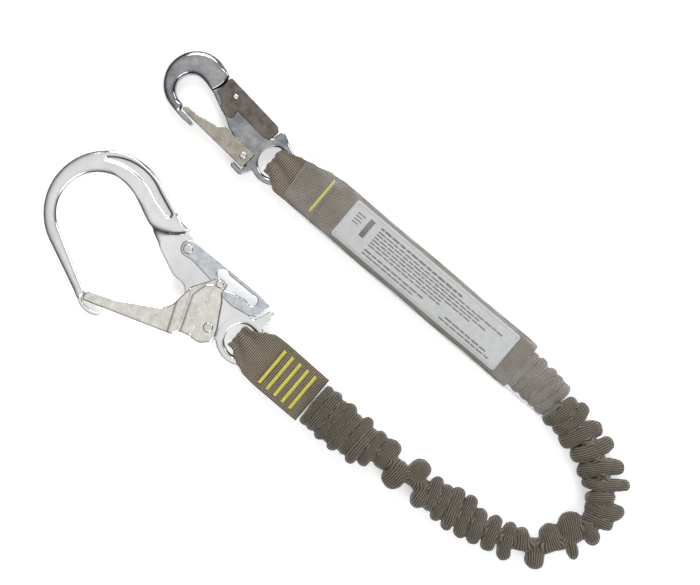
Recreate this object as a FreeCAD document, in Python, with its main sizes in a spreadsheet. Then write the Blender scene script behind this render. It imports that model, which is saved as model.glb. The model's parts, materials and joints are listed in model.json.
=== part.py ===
"""Shock absorbing lanyard: snap hook, webbing energy absorber, elastic leg and scaffold hook.

The lanyard lies flat in a U. +X runs along the absorber from the snap hook to the elastic leg,
+Z is up, and the floor is z = 0. Both hooks are drawn in their own hook frame: the middle of the
plate is z = 0, +x runs from the eye to the bow, and the gate is on the +y side.
"""
import FreeCAD, Part
import math
import os
import Sketcher

Vector = FreeCAD.Vector
Z_AXIS = Vector(0, 0, 1)

SIZES = {
    # where things lie: the pack's snap end is at (pack_x, pack_y)
    "pack_x": -31.2,
    "pack_y": 77.35,
    "hook_level": 9.4,
    "hook_turn": 173.3,
    "snap_eye_x": -51.7,
    "snap_eye_y": -1.2,
    "scaffold_eye_x": 18.8,
    "scaffold_eye_y": -125.4,
    # play
    "running_gap": 0.05,
    "soft_gap": 0.3,
    # snap hook
    "snap_plate": 8.0,
    "snap_bow": 13.0,
    "snap_bow_round": 2.5,
    "snap_throat_radius": 12.2,
    "snap_eye_radius": 12.3,
    "snap_eye_rise": 2.3,
    "snap_ring_width": 5.5,
    "snap_ring_deep": 8.4,
    "snap_gate_outside": 15.8,
    "snap_gate_inside": 12.2,
    "snap_lever_outside": 11.6,
    "snap_lever_inside": 8.6,
    "snap_gate_rivet_x": 20.0,
    "snap_gate_rivet_y": 16.0,
    "snap_gate_rivet_radius": 2.2,
    "snap_lever_rivet_x": 57.5,
    "snap_lever_rivet_y": -11.0,
    "snap_lever_rivet_radius": 1.6,
    "snap_gate_rivet_head": 2.9,
    "snap_lever_rivet_head": 2.3,
    # scaffold hook
    "scaffold_plate": 8.0,
    "scaffold_bow": 14.0,
    "scaffold_bow_round": 2.5,
    "scaffold_groove_deep": 1.2,
    "scaffold_throat_radius": 31.5,
    "scaffold_eye_radius": 13.0,
    "scaffold_eye_rise": 1.0,
    "scaffold_ring_width": 6.3,
    "scaffold_ring_deep": 8.4,
    "scaffold_gate_outside": 15.8,
    "scaffold_gate_inside": 12.2,
    "scaffold_lever_outside": 11.6,
    "scaffold_lever_inside": 8.6,
    "scaffold_gate_rivet_x": 25.0,
    "scaffold_gate_rivet_y": 12.5,
    "scaffold_gate_rivet_radius": 2.8,
    "scaffold_lever_rivet_x": 80.5,
    "scaffold_lever_rivet_y": -18.0,
    "scaffold_lever_rivet_radius": 2.5,
    "scaffold_link_pin_x": 43.5,
    "scaffold_link_pin_y": -17.5,
    "scaffold_link_pin_radius": 2.3,
    "scaffold_rivet_head": 3.9,
    "scaffold_link_head": 3.2,
    "scaffold_slot_radius": 3.0,
    "rivet_head_high": 1.4,
    "spring_wire": 0.9,
    "spring_tail": 1.6,
    "spring_play": 0.9,
    "snap_gate_rivet_seat": 2.0,
    "snap_lever_rivet_seat": 3.5,
    "scaffold_gate_rivet_seat": 2.0,
    # energy absorber
    "pack_long": 199.0,
    "pack_wide": 41.0,
    "web_thick": 2.6,
    "stack_low": 3.8,
    "stack_high": 17.3,
    "stack_layers": 5,
    "cover_low": 0.9,
    "cover_high": 20.2,
    "label_start": 17.5,
    "label_long": 166.0,
    "label_wide": 35.0,
    "label_thick": 0.4,
    "sleeve_wall": 0.6,
    "sleeve_top": 21.5,
    "sleeve_start": -30.0,
    "sleeve_end": 239.0,
    "outlet_low": 3.5,
    "outlet_high": 14.0,
    # sewn ends
    "loop_high": 15.4,
    "sewn_high": 9.0,
    "tack_thick": 2.6,
    "tack_proud": 0.7,
    "snap_tack_high": 13.0,
    "leg_tack_count": 5,
    "leg_tack_pitch": 7.7,
    # elastic leg
    "leg_wide": 38.0,
    "leg_high": 28.0,
    "core_wide": 5.0,
    "core_high": 12.0,
}

# The leg's route from the absorber's outlet to the sewn end, from the pack's snap end.
LEG_ROUTE = [
    (239, -6), (258, -6), (282, -12), (301, -22), (314, -39), (319, -60), (314, -81),
    (301, -98), (282, -109), (256, -116), (226, -120), (194, -122), (160, -123), (126, -126),
    (92, -126),
]
ARC_SHARE = 0.45

doc = FreeCAD.newDocument("ShockAbsorbingLanyard")
sheet = doc.addObject("Spreadsheet::Sheet", "Sizes")
for row, (alias, value) in enumerate(SIZES.items(), start=1):
    sheet.set(f"A{row}", alias)
    sheet.set(f"B{row}", str(value))
    sheet.setAlias(f"B{row}", alias)
doc.recompute()


def size(alias):
    """A driving dimension, read from the sheet."""
    return float(sheet.get(alias))


# ---------------------------------------------------------------- drawing helpers

def new_body(name):
    """A PartDesign body whose label names the sub-part."""
    body = doc.addObject("PartDesign::Body", name)
    body.Label = name
    return body


def segments(outline):
    """Edges of an outline: 2 numbers are a straight run, 4 an arc through a point to its end."""
    edges = []
    here = outline[0]
    for step in outline[1:]:
        end = step[-2:]
        first = Vector(here[0], here[1], 0)
        last = Vector(end[0], end[1], 0)
        if len(step) == 4:
            edges.append(Part.Arc(first, Vector(step[0], step[1], 0), last))
        else:
            edges.append(Part.LineSegment(first, last))
        here = end
    if math.dist(here, outline[0]) > 1e-6:
        edges.append(Part.LineSegment(Vector(here[0], here[1], 0), Vector(outline[0][0], outline[0][1], 0)))
    return edges


def new_sketch(body, name, plane="XY_Plane"):
    """An empty sketch on one of the body's own origin planes."""
    sketch = body.newObject("Sketcher::SketchObject", name)
    origin_plane = next(item for item in body.Origin.OriginFeatures if item.Role == plane)
    sketch.AttachmentSupport = [(origin_plane, "")]
    sketch.MapMode = "FlatFace"
    return sketch


def outline_sketch(body, name, outline, plane="XY_Plane"):
    """A closed outline whose neighbouring edges are tied end to end."""
    sketch = new_sketch(body, name, plane)
    edges = segments(outline)
    sketch.addGeometry(edges, False)
    for index in range(len(edges)):
        follower = (index + 1) % len(edges)
        ends = [(sketch.getPoint(index, end).distanceToPoint(sketch.getPoint(follower, start)), end, start)
                for end in (1, 2) for start in (1, 2)]
        end, start = min(ends)[1:]
        sketch.addConstraint(Sketcher.Constraint("Coincident", index, end, follower, start))
    return sketch


def circle_sketch(body, name, centre, radius_rule):
    """A circle whose centre and radius are bound to the sheet."""
    sketch = new_sketch(body, name)
    index = sketch.addGeometry(Part.Circle(Vector(), Z_AXIS, 5), False)
    sketch.addConstraint(Sketcher.Constraint("Coincident", index, 3, -1, 1))
    radius = sketch.addConstraint(Sketcher.Constraint("Radius", index, 5))
    sketch.setExpression(f"Constraints[{radius}]", radius_rule)
    sketch.setExpression("AttachmentOffset.Base.x", centre[0])
    sketch.setExpression("AttachmentOffset.Base.y", centre[1])
    return sketch


def pad(body, sketch, rule, side="Symmetric", backwards=False):
    """Pad a sketch to a length bound to the sheet, by default evenly about its plane."""
    feature = body.newObject("PartDesign::Pad", sketch.Name + "_pad")
    feature.Profile = sketch
    feature.Refine = False
    feature.SideType = side
    feature.Reversed = backwards
    feature.setExpression("Length", rule)
    doc.recompute()
    must_hold(feature)
    return feature


def must_hold(feature):
    """Stop at a feature that did not compute."""
    if "Invalid" in feature.State or feature.Shape.isNull() or not feature.Shape.isValid():
        raise RuntimeError(f"{feature.Name} failed: {feature.State}")


def pocket(body, sketch, rule=None, side="Symmetric", backwards=False):
    """Pocket a sketch: right through both ways, or to a length bound to the sheet."""
    before = body.Shape.Volume
    feature = body.newObject("PartDesign::Pocket", sketch.Name + "_pocket")
    feature.Profile = sketch
    feature.Refine = False
    feature.SideType = side
    feature.Reversed = backwards
    if rule is None:
        feature.Type = "ThroughAll"
    else:
        feature.setExpression("Length", rule)
    doc.recompute()
    must_hold(feature)
    if body.Shape.Volume > before - 0.01:
        raise RuntimeError(f"{sketch.Name} removes nothing")
    return feature


def recess(body, name, outline, face_rule, deep_rule):
    """Cut the same outline into both faces of a plate, to a depth below each face."""
    for upper in (True, False):
        sketch = outline_sketch(body, f"{name}_{'top' if upper else 'bottom'}", outline)
        sign = "" if upper else "-"
        sketch.setExpression("AttachmentOffset.Base.z", f"{sign}({face_rule})")
        feature = pocket(body, sketch, deep_rule, "One side", backwards=not upper)
    return feature


def fillet(body, base, rule, wanted):
    """Round the edges of a feature that the test picks."""
    names = [f"Edge{n}" for n, edge in enumerate(base.Shape.Edges, start=1) if wanted(edge.BoundBox)]
    feature = body.newObject("PartDesign::Fillet", base.Name + "_fillet")
    feature.Base = (base, names)
    feature.Refine = False
    feature.setExpression("Radius", rule)
    doc.recompute()
    must_hold(feature)
    return feature


def flat_edge(height):
    """Picks edges that lie level at a height above or below the plate's middle."""
    return lambda box: box.ZLength < 1e-4 and abs(abs(box.ZMin) - height) < 1e-3


def place_hook(body, hook):
    """Put a body of a hook where the hook lies."""
    body.Placement = FreeCAD.Placement(Vector(), FreeCAD.Rotation(Z_AXIS, 10))
    body.setExpression("Placement.Base.x", f"Sizes.pack_x + Sizes.{hook}_eye_x")
    body.setExpression("Placement.Base.y", f"Sizes.pack_y + Sizes.{hook}_eye_y")
    body.setExpression("Placement.Base.z", "Sizes.hook_level")
    body.setExpression("Placement.Rotation.Angle", "Sizes.hook_turn")


def place_pack(body):
    """Put a body drawn from the pack's snap end where the pack lies."""
    body.setExpression("Placement.Base.x", "Sizes.pack_x")
    body.setExpression("Placement.Base.y", "Sizes.pack_y")


def pin_centre(hook, pin):
    """The sheet rules for a pin's centre in its hook's frame."""
    return f"Sizes.{hook}_{pin}_x", f"Sizes.{hook}_{pin}_y"


def drill(body, hook, pin, play="Sizes.running_gap"):
    """A hole through everything for one pin of a hook."""
    sketch = circle_sketch(body, f"{body.Name}_{pin}_hole", pin_centre(hook, pin),
                           f"Sizes.{hook}_{pin}_radius + {play}")
    pocket(body, sketch)


def pin_body(name, hook, pin, outside, head_rule):
    """A rivet or pin: a shank through the hook with a domed head at each end."""
    body = new_body(name)
    centre = pin_centre(hook, pin)
    shank = circle_sketch(body, f"{name}_shank", centre, f"Sizes.{hook}_{pin}_radius")
    pad(body, shank, f"{outside} + 0.2")
    for upper in (True, False):
        head = circle_sketch(body, f"{name}_{'top' if upper else 'bottom'}_head", centre, head_rule)
        sign = "" if upper else "-"
        head.setExpression("AttachmentOffset.Base.z", f"{sign}({outside} / 2 + 0.1)")
        feature = pad(body, head, "Sizes.rivet_head_high", "One side", backwards=not upper)
    reach = (size(outside.split(".")[1]) / 2) + 0.1 + size("rivet_head_high")
    fillet(body, feature, "Sizes.rivet_head_high * 0.7", flat_edge(reach))
    place_hook(body, hook)
    return body


def spring_seat(body, hook, pin):
    """A round recess in the plate's underside, in which a torsion spring sits round its pin."""
    seat = circle_sketch(body, f"{hook}_{pin}_seat", pin_centre(hook, pin),
                         f"Sizes.{hook}_{pin}_radius + Sizes.spring_wire + Sizes.spring_play")
    seat.setExpression("AttachmentOffset.Base.z", f"-(Sizes.{hook}_plate / 2)")
    pocket(body, seat, f"Sizes.{hook}_{pin}_seat", "One side", backwards=True)


def torsion_spring(name, hook, pin, low, turns, finish):
    """A torsion spring wound round a pin, its long arm reaching finish, made in one sweep."""
    wire = size("spring_wire")
    centre = Vector(size(f"{hook}_{pin}_x"), size(f"{hook}_{pin}_y"), low + wire / 2)
    coil_radius = size(f"{hook}_{pin}_radius") + size("soft_gap") + wire / 2
    rise = wire * 1.06
    reach = Vector(finish[0], finish[1], centre.z) - centre
    arm = math.sqrt(reach.Length ** 2 - coil_radius ** 2)
    heading = math.atan2(reach.y, reach.x) + math.atan2(arm, coil_radius)
    coil = Part.makeHelix(rise, rise * turns, coil_radius)
    first = Vector(coil_radius, 0, 0)
    arm_end = first - Vector(0, arm, 0)
    last = first + Z_AXIS * rise * turns
    path = Part.Wire([Part.LineSegment(arm_end, first).toShape(), *coil.Edges,
                      Part.LineSegment(last, last + Vector(0, size("spring_tail"), 0)).toShape()])
    section = Part.Wire(Part.Circle(arm_end, Vector(0, 1, 0), wire / 2).toShape())
    spring = path.makePipeShell([section], True, False)
    feature = doc.addObject("Part::Feature", name)
    feature.Label = name
    feature.Shape = spring
    on_hook = FreeCAD.Placement(centre, FreeCAD.Rotation(Z_AXIS, math.degrees(heading)))
    turn = FreeCAD.Rotation(Z_AXIS, size("hook_turn"))
    base = Vector(size("pack_x") + size(f"{hook}_eye_x"), size("pack_y") + size(f"{hook}_eye_y"),
                  size("hook_level"))
    feature.Placement = FreeCAD.Placement(base, turn).multiply(on_hook)


# ---------------------------------------------------------------- scaffold hook

def ring(body, hook):
    """The round eye at the end of a hook, with softened edges."""
    name = f"{hook}_ring"
    centre = ("0", f"Sizes.{hook}_eye_rise")
    blank = circle_sketch(body, name, centre, f"Sizes.{hook}_eye_radius + Sizes.{hook}_ring_width")
    return pad(body, blank, f"Sizes.{hook}_ring_deep")


def open_eye(body, hook):
    """The hole of the eye."""
    centre = ("0", f"Sizes.{hook}_eye_rise")
    hole = circle_sketch(body, f"{hook}_eye_hole", centre, f"Sizes.{hook}_eye_radius")
    pocket(body, hole)


def scaffold_hook_body():
    """Forged hook: a thick open bow, a thinner plate that carries gate and lever, and the eye."""
    body = new_body("scaffold_hook_body")
    bow_outline = [
        (89.0, -29.6), (98.0, -29.0), (130.8, -37.94),
        (195.0, 10.0, 159.62, 57.82),
        (112.0, 72.4), (109.6, 68.0, 111.2, 63.54),
        (160.49, 44.33),
        (180.5, 15.0, 139.58, -15.06),
        (116.0, -7.67),
        (101.0, -14.0, 89.0, -29.6),
    ]
    pad(body, outline_sketch(body, "scaffold_bow", bow_outline), "Sizes.scaffold_bow")
    groove = [
        (110.0, -22.2), (126.0, -24.4), (152.0, -27.6, 175.0, -18.2),
        (177.0, -18.9, 176.4, -21.0), (154.0, -34.8, 128.0, -32.8),
        (111.5, -28.6), (107.6, -25.2, 110.0, -22.2),
    ]
    grooved = recess(body, "scaffold_groove", groove, "Sizes.scaffold_bow / 2",
                     "Sizes.scaffold_groove_deep")
    rim = flat_edge(size("scaffold_bow") / 2)
    fillet(body, grooved, "Sizes.scaffold_bow_round",
           lambda box: rim(box) and not (box.XMin > 106 and box.XMax < 179
                                         and box.YMax < -17 and box.YMin > -36))
    lip = [
        (113.4, 70.0), (103.0, 74.0, 90.2, 68.8), (90.9, 66.9), (99.0, 70.4, 106.5, 71.0), (111.0, 68.0),
    ]
    pad(body, outline_sketch(body, "scaffold_lip", lip), "Sizes.scaffold_bow * 0.9")
    plate = [
        (-5.0, -17.0), (-5.2, -22.0), (-3.0, -30.6), (-1.0, -33.0, 1.6, -31.2), (3.0, -24.0),
        (6.0, -15.6), (25.0, -19.0, 43.0, -13.3), (62.0, -19.5), (76.6, -22.0), (79.0, -25.8),
        (84.0, -26.6),
        (91.0, -27.0), (106.0, -14.0), (114.0, -9.5), (112.6, -6.9), (75.0, 4.4), (70.0, 4.6),
        (65.0, 3.7, 60.5, 5.0), (56.4, 9.0),
        (44.0, 13.0), (34.0, 14.0), (25.0, 21.5, 16.2, 14.8), (13.6, 15.6), (9.0, 18.6), (0.0, 10.0),
    ]
    pad(body, outline_sketch(body, "scaffold_plate", plate), "Sizes.scaffold_plate")
    ring(body, "scaffold")
    open_eye(body, "scaffold")
    drill(body, "scaffold", "gate_rivet")
    drill(body, "scaffold", "lever_rivet")
    spring_seat(body, "scaffold", "gate_rivet")
    place_hook(body, "scaffold")


def channel(name, outline, hollow, outside, inside):
    """A bent sheet channel: the outline padded to its outside width, hollowed between its cheeks."""
    body = new_body(name)
    pad(body, outline_sketch(body, name + "_outline", outline), outside)
    pocket(body, outline_sketch(body, name + "_hollow", hollow), inside)
    return body


def scaffold_gate():
    """Gate: a channel arm that closes the bow and a ribbed base that reaches to the link pin."""
    outline = [
        (15.0, 18.6), (20.0, 25.0), (24.0, 27.0, 30.0, 27.6), (38.0, 31.0), (41.0, 37.4), (46.0, 39.6),
        (107.5, 69.4), (109.2, 67.5, 109.0, 61.0), (107.0, 59.0), (90.0, 50.0), (65.0, 31.0),
        (58.0, 22.0, 57.4, 14.0), (57.4, 0.0), (52.0, -11.0), (47.6, -20.6), (39.6, -21.4),
        (37.0, -14.0), (32.0, -9.0), (20.0, 7.0), (16.0, 13.6),
    ]
    hollow = [
        (10.0, 16.0), (16.6, 17.0), (21.0, 23.0), (30.4, 25.7), (39.4, 29.6), (42.4, 35.8), (46.6, 37.8),
        (106.6, 66.9), (112.0, 69.5), (112.0, 40.0), (70.0, -30.0), (10.0, -30.0),
    ]
    body = channel("scaffold_gate", outline, hollow, "Sizes.scaffold_gate_outside",
                   "Sizes.scaffold_gate_inside")
    ribs = ([(30.5, 27.2), (37.4, 30.2), (51.5, 4.0), (50.0, -9.0), (45.6, -14.0)],
            [(39.8, 33.0), (41.6, 37.0), (44.0, 38.0), (57.0, 15.0), (57.0, 2.0), (53.0, 6.0)])
    for number, rib in enumerate(ribs, start=1):
        for upper in (True, False):
            side = "top" if upper else "bottom"
            sketch = outline_sketch(body, f"scaffold_gate_rib_{number}_{side}", rib)
            sign = "" if upper else "-"
            sketch.setExpression("AttachmentOffset.Base.z", f"{sign}(Sizes.scaffold_gate_outside / 2)")
            pad(body, sketch, "0.6", "One side", backwards=not upper)
    drill(body, "scaffold", "gate_rivet")
    drill(body, "scaffold", "link_pin")
    place_hook(body, "scaffold")


def scaffold_lock_lever():
    """Squeeze lever: a channel along the back, slotted for the link pin."""
    outline = [
        (4.2, -33.0), (5.4, -34.2), (15.0, -34.2), (79.6, -25.4), (86.9, -17.6, 80.0, -11.8),
        (72.0, -14.0), (50.0, -14.0), (35.0, -11.6), (25.0, -12.0), (12.0, -16.0), (5.6, -20.0),
        (4.2, -24.0),
    ]
    hollow = [
        (2.0, -32.4), (15.0, -32.4), (76.0, -24.1), (76.0, -30.0), (92.0, -30.0), (92.0, -5.0),
        (2.0, -5.0),
    ]
    body = channel("scaffold_lock_lever", outline, hollow, "Sizes.scaffold_lever_outside",
                   "Sizes.scaffold_lever_inside")
    slot = [
        (20.0, -23.4), (30.0, -20.8), (36.5, -17.2), (40.8, -15.2), (43.5, -14.3, 46.6, -16.6),
        (46.6, -19.0), (52.0, -22.5, 44.0, -27.2), (20.0, -30.4), (12.8, -26.4, 20.0, -23.4),
    ]
    pocket(body, outline_sketch(body, "scaffold_lever_slot", slot))
    drill(body, "scaffold", "lever_rivet")
    place_hook(body, "scaffold")


# ---------------------------------------------------------------- snap hook

def snap_hook_body():
    """Forged hook: a thick bow, the plate between gate and lever, a stop lug and the eye."""
    body = new_body("snap_hook_body")
    bow_outline = [
        (72.6, -18.8), (77.0, -20.2, 86.0, -21.8),
        (112.5, 4.7, 86.0, 31.2), (81.0, 31.2), (79.9, 27.6), (80.6, 24.2), (82.0, 22.6),
        (85.5, 22.9),
        (97.7, 10.7, 85.5, -1.5), (74.0, -0.4), (71.8, -8.0, 72.6, -18.8),
    ]
    bow = pad(body, outline_sketch(body, "snap_bow", bow_outline), "Sizes.snap_bow")
    fillet(body, bow, "Sizes.snap_bow_round", flat_edge(size("snap_bow") / 2))
    lip = [(84.0, 31.0), (74.0, 31.3), (67.5, 30.4), (65.6, 30.6), (65.4, 27.6), (70.0, 27.5),
           (80.6, 27.3), (84.0, 27.0)]
    pad(body, outline_sketch(body, "snap_lip", lip), "Sizes.snap_bow * 0.8")
    plate = [
        (-5.0, -13.6), (10.0, -20.0), (12.4, -19.4), (13.4, -16.0), (14.4, -9.6), (45.0, -9.2),
        (62.0, -15.6), (78.0, -16.0), (78.0, -4.0), (73.0, -0.6), (60.0, 3.6), (51.0, 6.0),
        (44.0, 9.4), (26.5, 13.0), (22.0, 20.6, 13.6, 18.6), (13.4, 24.6), (21.8, 24.8),
        (21.6, 28.4, 18.8, 28.8), (14.0, 28.8), (11.4, 28.0, 10.2, 25.4), (7.0, 18.6), (0.0, 6.0),
    ]
    pad(body, outline_sketch(body, "snap_plate", plate), "Sizes.snap_plate")
    ring(body, "snap")
    open_eye(body, "snap")
    drill(body, "snap", "gate_rivet")
    drill(body, "snap", "lever_rivet")
    spring_seat(body, "snap", "gate_rivet")
    spring_seat(body, "snap", "lever_rivet")
    place_hook(body, "snap")


def snap_gate():
    """Gate: a tapering channel with its web outwards."""
    outline = [
        (14.2, 9.6), (15.0, 9.0), (46.0, 10.8), (50.0, 14.8), (70.0, 20.8), (77.0, 21.4),
        (78.8, 23.0, 78.8, 25.8), (70.0, 25.9), (15.0, 23.3), (14.2, 22.6),
    ]
    hollow = [(10.0, 20.8), (16.0, 21.6), (70.0, 24.3), (82.0, 24.6), (82.0, 0.0), (10.0, 0.0)]
    body = channel("snap_gate", outline, hollow, "Sizes.snap_gate_outside", "Sizes.snap_gate_inside")
    drill(body, "snap", "gate_rivet")
    place_hook(body, "snap")


def snap_lock_lever():
    """Squeeze lever: a channel along the back with a locking finger at its front."""
    outline = [
        (15.4, -17.0), (18.0, -19.4), (70.4, -19.0), (71.0, -17.0), (70.6, -4.0), (64.0, -1.0),
        (57.6, 4.6), (50.0, 4.4), (47.2, 2.0), (48.6, -4.4), (20.0, -5.2), (15.4, -7.0),
    ]
    hollow = [(10.0, -17.6), (75.0, -17.6), (75.0, 12.0), (10.0, 12.0)]
    body = channel("snap_lock_lever", outline, hollow, "Sizes.snap_lever_outside",
                   "Sizes.snap_lever_inside")
    drill(body, "snap", "lever_rivet")
    place_hook(body, "snap")


# ---------------------------------------------------------------- sewn webbing

def ring_groove(body, hook):
    """Cut the space that the hook's eye turns in, a little larger than the eye's bar."""
    gap = size("soft_gap")
    inner = size(f"{hook}_eye_radius") - gap
    outer = size(f"{hook}_eye_radius") + size(f"{hook}_ring_width") + gap
    half = size(f"{hook}_ring_deep") / 2 + gap
    section = [(inner, -half), (outer, -half), (outer, half), (inner, half)]
    sketch = outline_sketch(body, f"{body.Name}_groove_section", section, "XZ_Plane")
    before = body.Shape.Volume
    groove = body.newObject("PartDesign::Groove", f"{body.Name}_groove")
    groove.Profile = sketch
    groove.ReferenceAxis = (sketch, ["V_Axis"])
    groove.Angle = 360
    doc.recompute()
    if body.Shape.Volume > before - 0.01:
        raise RuntimeError(f"{body.Name}: the groove removes nothing")


def loop_place(body, hook):
    """Put a loop with its own origin at the middle of the hook's eye."""
    turn = math.radians(size("hook_turn"))
    rise = size(f"{hook}_eye_rise")
    shift_x = -rise * math.sin(turn)
    shift_y = rise * math.cos(turn)
    body.setExpression("Placement.Base.x", f"Sizes.pack_x + Sizes.{hook}_eye_x + ({shift_x})")
    body.setExpression("Placement.Base.y", f"Sizes.pack_y + Sizes.{hook}_eye_y + ({shift_y})")
    body.setExpression("Placement.Base.z", "Sizes.hook_level")


def end_loop(name, hook, plan, side_cuts):
    """A doubled end of webbing round a hook's eye, grooved so that the eye can turn in it."""
    body = new_body(name)
    pad(body, outline_sketch(body, name + "_plan", plan), "Sizes.loop_high")
    for number, cut in enumerate(side_cuts, start=1):
        pocket(body, outline_sketch(body, f"{name}_side_{number}", cut, "XZ_Plane"))
    ring_groove(body, hook)
    loop_place(body, hook)
    return body


def bar_tack(name, loop, hook, first, pitch, count, middle, long, high_rule):
    """Bar tacks sewn right through a loop: the slots in the loop and the thread that fills them."""
    body = new_body(name)
    for tack in range(int(count)):
        x_low = first + tack * pitch
        box = [(x_low, middle - long / 2), (x_low + size("tack_thick"), middle - long / 2),
               (x_low + size("tack_thick"), middle + long / 2), (x_low, middle + long / 2)]
        pocket(loop, outline_sketch(loop, f"{name}_slot_{tack + 1}", box))
        thread = outline_sketch(body, f"{name}_thread_{tack + 1}", box)
        pad(body, thread, f"{high_rule} + 2 * Sizes.tack_proud")
    loop_place(body, hook)
    return body


def sewn_ends():
    """The two webbing loops with their bar tacks."""
    absorber_plan = [
        (2.0, -8.5), (2.6, -10.6, 4.5, -11.6), (15.0, -16.2), (32.0, -16.6), (47.6, -16.6),
        (47.6, 23.4), (42.0, 23.4), (27.0, 19.8), (14.0, 16.4), (4.5, 13.0), (2.6, 12.0, 2.0, 10.0),
    ]
    top = size("loop_high") / 2
    absorber_cuts = (
        [(0, top + 1), (0, 4.0), (2.0, 4.0), (4.6, 6.9, 8.0, 7.5), (20.0, 7.5), (47.6, 6.9), (60, 6.9),
         (60, top + 1)],
        [(0, -top - 1), (0, -4.0), (2.0, -4.0), (4.6, -6.9, 8.0, -7.5), (20.0, -7.5), (47.6, -5.0),
         (60, -5.0), (60, -top - 1)],
    )
    absorber = end_loop("absorber_end_loop", "snap", absorber_plan, absorber_cuts)
    bar_tack("absorber_end_tack", absorber, "snap", 43.6, 0, 1, 4.0, 32.0, "Sizes.snap_tack_high")
    leg_plan = [
        (2.0, -9.5), (2.6, -12.0, 5.0, -13.0), (13.0, -16.0), (20.0, -19.6), (28.0, -20.6),
        (73.0, -20.6), (73.0, 20.8), (30.0, 20.4), (20.0, 19.6), (13.0, 16.4), (5.0, 13.0),
        (2.6, 12.0, 2.0, 9.5),
    ]
    half = size("sewn_high") / 2
    leg_cuts = tuple(
        [(0, sign * (top + 1)), (0, sign * 4.0), (2.0, sign * 4.0), (4.6, sign * 6.9, 8.0, sign * 7.6),
         (20.0, sign * 7.6), (29.0, sign * half), (80.0, sign * half), (80.0, sign * (top + 1))]
        for sign in (1, -1))
    leg = end_loop("leg_end_loop", "scaffold", leg_plan, leg_cuts)
    bar_tack("leg_bar_tacks", leg, "scaffold", 30.2, size("leg_tack_pitch"), size("leg_tack_count"),
             0.0, 33.0, "Sizes.sewn_high")


# ---------------------------------------------------------------- energy absorber

def folded_side(start, finish, levels):
    """One side of a web folded back and forth: its height in each layer, joined by half turns."""
    steps = [(start, levels[0])]
    for layer, level in enumerate(levels):
        goes_right = layer % 2 == 0
        end = finish if goes_right else start
        steps.append((end, level))
        if layer + 1 < len(levels):
            above = levels[layer + 1]
            reach = (above - level) / 2 * (1 if goes_right else -1)
            steps.append((end + reach, (level + above) / 2, end, above))
    return steps


def reverse_steps(steps):
    """The same run of steps walked from its end to its start."""
    back = [steps[-1][-2:]]
    for step, before in zip(steps[:0:-1], steps[-2::-1]):
        corner = before[-2:]
        back.append((step[0], step[1], *corner) if len(step) == 4 else corner)
    return back


def absorber_tear_web():
    """The tear web, folded into flat layers inside the pack."""
    body = new_body("absorber_tear_web")
    gap = size("soft_gap")
    layers = int(size("stack_layers"))
    thick = (size("stack_high") - size("stack_low") - gap * (layers - 1)) / layers
    bottoms = [size("stack_low") + layer * (thick + gap) for layer in range(layers)]
    tops = [bottom + thick for bottom in bottoms]
    first = [bottoms[layer] if layer % 2 == 0 else tops[layer] for layer in range(layers)]
    second = [tops[layer] if layer % 2 == 0 else bottoms[layer] for layer in range(layers)]
    start = 8.0
    finish = size("pack_long") - 8.0
    outline = folded_side(start, finish, first) + reverse_steps(folded_side(start, finish, second))
    pad(body, outline_sketch(body, "tear_web_side", outline, "XZ_Plane"), "Sizes.pack_wide - 2.4")
    place_pack(body)


def absorber_cover_web():
    """The outer turn of webbing: over the stack, round its leg end and back under it."""
    body = new_body("absorber_cover_web")
    low = size("cover_low")
    high = size("cover_high")
    thick = size("web_thick")
    middle = (low + high) / 2
    end = size("pack_long")
    corner = 5.0
    bend = corner - corner * math.sqrt(0.5)
    inside = corner - thick
    inner_bend = inside - inside * math.sqrt(0.5)
    outline = [
        (-3.6, low), (end - corner, low), (end - bend, low + bend, end, low + corner),
        (end, high - corner), (end - bend, high - bend, end - corner, high), (-3.6, high),
        (-3.6, middle + 6.0), (-1.0, high - thick), (end - corner, high - thick),
        (end - thick - inner_bend, high - thick - inner_bend, end - thick, high - corner),
        (end - thick, low + corner),
        (end - thick - inner_bend, low + thick + inner_bend, end - corner, low + thick),
        (-1.0, low + thick), (-3.6, middle - 6.0),
    ]
    pad(body, outline_sketch(body, "cover_web_side", outline, "XZ_Plane"), "Sizes.pack_wide")
    place_pack(body)


def absorber_label():
    """A thin label with rounded corners on top of the pack."""
    body = new_body("absorber_label")
    left = size("label_start")
    right = left + size("label_long")
    half = size("label_wide") / 2
    round_corner = 2.0
    bend = round_corner * (1 - math.sqrt(0.5))
    outline = [
        (left + round_corner, -half), (right - round_corner, -half),
        (right - bend, -half + bend, right, -half + round_corner), (right, half - round_corner),
        (right - bend, half - bend, right - round_corner, half), (left + round_corner, half),
        (left + bend, half - bend, left, half - round_corner), (left, -half + round_corner),
        (left + bend, -half + bend, left + round_corner, -half),
    ]
    sketch = outline_sketch(body, "label_outline", outline)
    sketch.setExpression("AttachmentOffset.Base.z", "Sizes.cover_high")
    pad(body, sketch, "Sizes.label_thick", "One side")
    place_pack(body)


def sleeve_outline(inset):
    """Plan of the clear sleeve, narrower at both ends, drawn in by an inset."""
    start = size("sleeve_start") - 1.0 * (inset > 0)
    end = size("sleeve_end") + 1.0 * (inset > 0)
    half = size("pack_wide") / 2 + size("soft_gap") + size("sleeve_wall") - inset
    return [(start, -half), (size("pack_long") + 4.0, -half), (end, -half + 1.6),
            (end, half - 3.4), (size("pack_long") + 4.0, half), (start, half)]


def absorber_sleeve():
    """Clear sleeve: a flat plastic tube over the loop's end, the pack and the outlet web."""
    body = new_body("absorber_sleeve")
    outside = outline_sketch(body, "sleeve_outside", sleeve_outline(0.0))
    pad(body, outside, "Sizes.sleeve_top", "One side")
    hollow = outline_sketch(body, "sleeve_hollow", sleeve_outline(size("sleeve_wall")))
    hollow.setExpression("AttachmentOffset.Base.z", "Sizes.sleeve_wall")
    pocket(body, hollow, "Sizes.sleeve_top - 2 * Sizes.sleeve_wall", "One side", backwards=True)
    place_pack(body)


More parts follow.
